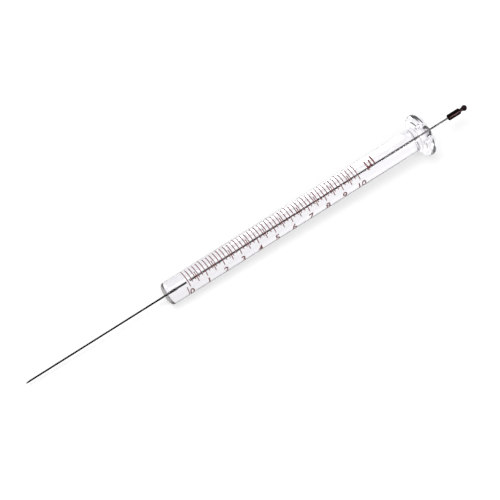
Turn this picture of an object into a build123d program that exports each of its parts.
from build123d import *

import math
import os

# A ten-microlitre microsyringe with a cemented needle, in millimetres. X runs along the axis of
# the bore towards the plunger's button and +Z is the side that carries the scale. The origin is
# on the axis at the scale's zero line, which is also where the needle ends inside the bore.
# Angles round the barrel start at +Z and grow towards -Y.

# Bore and scale. One cubic millimetre is one microlitre, so the bore sets the scale's length.
CAPACITY = 10.0
BORE_DIAMETER = 0.485
DIVISION_VOLUME = 0.2
DIVISIONS_PER_UNIT = 5

# Glass barrel with its finger flange
BARREL_DIAMETER = 6.5
NEEDLE_SEATING_LENGTH = 6.2
FRONT_EDGE_RADIUS = 0.9
SCALE_TO_FLANGE = 20.0
FLANGE_DIAMETER = 12.2
FLANGE_THICKNESS = 3.05
FLANGE_ROOT_RADIUS = 0.4
FLANGE_FRONT_RIM_RADIUS = 1.35
FLANGE_REAR_RIM_RADIUS = 1.35
FUNNEL_MOUTH_DIAMETER = 4.2
FUNNEL_DEPTH = 1.6

# Where the barrel's seam lies round the axis, so that facets of its mesh, not corners, are lowest
BARREL_SEAM_ANGLE = 20.7

# A rounding or chamfer takes at most this share of the wall beside it
MOST_OF_WALL = 0.49

# Needle, a hollow tube with a bevelled point
NEEDLE_DIAMETER = 0.474
NEEDLE_WALL = 0.1735
NEEDLE_REACH = 43.5
BEVEL_ANGLE = 12.0

# Cement round the needle, in a seat a little wider than the bore
SEAT_DIAMETER = 0.65
SEAT_DEPTH = 3.2

# Plunger wire
PLUNGER_CLEARANCE = 0.01
PLUNGER_TIP = 1.0
TIP_CHAMFER = 0.06
BUTTON_STANDOFF = 7.45

# Button, turned in one piece: a sleeve crimped on the wire, a neck and a ball
SLEEVE_DIAMETER = 1.7
SLEEVE_LENGTH = 3.85
SLEEVE_FRONT_CHAMFER = 0.15
SLEEVE_REAR_CHAMFER = 0.2
WIRE_SOCKET_DEPTH = 3.0
NECK_DIAMETER = 0.95
NECK_LENGTH = 0.62
BALL_DIAMETER = 1.6

# Fired-on scale lines: their width along X, their thickness, and their first and last angles
LINE_WIDTH = 0.24
INK_THICKNESS = 0.03
UNIT_LINE_ARC = (-51.5, 46.0)
DIVISION_LINE_ARC = (-42.0, 31.0)
HALF_LINE_ARC = (-4.0, 46.0)
ZERO_MARK_ARC = (41.0, 95.0)
ZERO_MARK_OFFSET = 1.0

# Radii and places that follow from the sizes above
bore_radius = BORE_DIAMETER / 2
barrel_radius = BARREL_DIAMETER / 2
flange_radius = FLANGE_DIAMETER / 2
funnel_mouth_radius = FUNNEL_MOUTH_DIAMETER / 2
needle_radius = NEEDLE_DIAMETER / 2
seat_radius = SEAT_DIAMETER / 2
wire_radius = bore_radius - PLUNGER_CLEARANCE
sleeve_radius = SLEEVE_DIAMETER / 2
neck_radius = NECK_DIAMETER / 2
ball_radius = BALL_DIAMETER / 2

scale_length = CAPACITY / (math.pi * bore_radius**2)
divisions = round(CAPACITY / DIVISION_VOLUME)
spacing = scale_length / divisions

barrel_front = -NEEDLE_SEATING_LENGTH
needle_point = barrel_front - NEEDLE_REACH
seat_end = barrel_front + SEAT_DEPTH
flange_front = scale_length + SCALE_TO_FLANGE
flange_rear = flange_front + FLANGE_THICKNESS
flange_overhang = flange_radius - barrel_radius
flange_rear_land = flange_radius - funnel_mouth_radius
funnel_bottom = flange_rear - FUNNEL_DEPTH
sleeve_front = flange_rear + BUTTON_STANDOFF
sleeve_rear = sleeve_front + SLEEVE_LENGTH
socket_bottom = sleeve_front + WIRE_SOCKET_DEPTH
ball_centre = sleeve_rear + NECK_LENGTH + ball_radius


def fitted(size, *walls):
    """The size, or just under half of the shortest wall beside it where that is less."""
    return min(size, *(MOST_OF_WALL * wall for wall in walls))


def corner_of(section, x, r):
    """The section's corner at (x, r)."""
    return section.vertices().sort_by_distance((x, r, 0))[0]


def round_corner(section, x, r, radius):
    """The section with its corner at (x, r) rounded."""
    return fillet(corner_of(section, x, r), radius)


def turn(section):
    """The solid that a half section, drawn along X with its radius along Y, sweeps round the axis."""
    return revolve(section, axis=Axis.X)


def make_barrel():
    """Thick glass capillary with a needle seat, a bore, a pressed flange and a funnel behind it."""
    section = make_face(
        Polyline(
            (barrel_front, seat_radius),
            (barrel_front, barrel_radius),
            (flange_front, barrel_radius),
            (flange_front, flange_radius),
            (flange_rear, flange_radius),
            (flange_rear, funnel_mouth_radius),
            (funnel_bottom, bore_radius),
            (seat_end, bore_radius),
            (seat_end, seat_radius),
            close=True,
        )
    )
    front_edge = fitted(FRONT_EDGE_RADIUS, barrel_radius - seat_radius, flange_front - barrel_front)
    root = fitted(FLANGE_ROOT_RADIUS, flange_overhang, flange_front - barrel_front)
    front_rim = fitted(FLANGE_FRONT_RIM_RADIUS, flange_overhang, FLANGE_THICKNESS)
    rear_rim = fitted(FLANGE_REAR_RIM_RADIUS, flange_rear_land, FLANGE_THICKNESS)
    section = round_corner(section, barrel_front, barrel_radius, front_edge)
    section = round_corner(section, flange_front, barrel_radius, root)
    section = round_corner(section, flange_front, flange_radius, front_rim)
    section = round_corner(section, flange_rear, flange_radius, rear_rim)
    return Rot(BARREL_SEAM_ANGLE, 0, 0) * turn(section)


def make_needle():
    """Hollow needle from its bevelled point to the bottom of the bore's working length."""
    section = make_face(
        Polyline(
            (needle_point, needle_radius - NEEDLE_WALL),
            (needle_point, needle_radius),
            (0, needle_radius),
            (0, needle_radius - NEEDLE_WALL),
            close=True,
        )
    )
    point = (needle_point, 0, -needle_radius)
    slope = math.radians(BEVEL_ANGLE)
    bevel = Plane(origin=point, z_dir=(-math.sin(slope), 0, math.cos(slope)))
    return split(turn(section), bisect_by=bevel, keep=Keep.BOTTOM)


def make_needle_cement():
    """Sleeve of cement that fills the seat round the needle."""
    return turn(
        make_face(
            Polyline(
                (barrel_front, needle_radius),
                (barrel_front, seat_radius),
                (seat_end, seat_radius),
                (seat_end, needle_radius),
                close=True,
            )
        )
    )


def make_plunger_wire():
    """Solid wire plunger from its tip in the bore to the bottom of the button's socket."""
    section = make_face(
        Polyline(
            (PLUNGER_TIP, 0),
            (PLUNGER_TIP, wire_radius),
            (socket_bottom, wire_radius),
            (socket_bottom, 0),
            close=True,
        )
    )
    tip_chamfer = fitted(TIP_CHAMFER, wire_radius)
    return turn(chamfer(corner_of(section, PLUNGER_TIP, wire_radius), tip_chamfer))


def make_plunger_button():
    """Turned button: the sleeve with its blind socket, the neck and the ball."""
    neck_meets_ball = ball_centre - math.sqrt(ball_radius**2 - neck_radius**2)
    ball_crown = (ball_centre, ball_radius)
    ball_end = (ball_centre + ball_radius, 0)
    chamfered_radius = sleeve_radius - SLEEVE_REAR_CHAMFER
    outline = Polyline(
        ball_end,
        (socket_bottom, 0),
        (socket_bottom, wire_radius),
        (sleeve_front, wire_radius),
        (sleeve_front, sleeve_radius - SLEEVE_FRONT_CHAMFER),
        (sleeve_front + SLEEVE_FRONT_CHAMFER, sleeve_radius),
        (sleeve_rear - SLEEVE_REAR_CHAMFER, sleeve_radius),
        (sleeve_rear, chamfered_radius),
        (sleeve_rear, neck_radius),
        (neck_meets_ball, neck_radius),
    )
    ball = ThreePointArc((neck_meets_ball, neck_radius), ball_crown, ball_end)
    return turn(make_face(outline + ball))


def make_line(x, arc):
    """One fired-on line at x, from the first to the last angle of its arc."""
    first, last = arc
    middle_radius = barrel_radius + INK_THICKNESS / 2
    stroke = Plane.XZ * Pos(x, middle_radius) * Rectangle(LINE_WIDTH, INK_THICKNESS)
    swept = revolve(stroke, axis=Axis.X, revolution_arc=last - first)
    return Rot(first, 0, 0) * swept


def make_scale():
    """The scale's lines by kind: whole units, divisions between them, half units, zero mark."""
    units = [n for n in range(divisions + 1) if n % DIVISIONS_PER_UNIT == 0]
    between = [n for n in range(divisions + 1) if n % DIVISIONS_PER_UNIT != 0]
    halves = [n + DIVISIONS_PER_UNIT / 2 for n in units[:-1]]
    return {
        "unit_graduations": [make_line(n * spacing, UNIT_LINE_ARC) for n in units],
        "division_graduations": [make_line(n * spacing, DIVISION_LINE_ARC) for n in between],
        "half_unit_graduations": [make_line(n * spacing, HALF_LINE_ARC) for n in halves],
        "zero_mark": [make_line(-ZERO_MARK_OFFSET, ZERO_MARK_ARC)],
    }


nodes = {
    "barrel": make_barrel(),
    "needle": make_needle(),
    "needle_cement": make_needle_cement(),
    "plunger_wire": make_plunger_wire(),
    "plunger_button": make_plunger_button(),
}
for name, lines in make_scale().items():
    nodes[name] = Compound(children=lines)

os.makedirs("parts", exist_ok=True)
for name, shape in nodes.items():
    export_step(shape, f"parts/{name}.step")
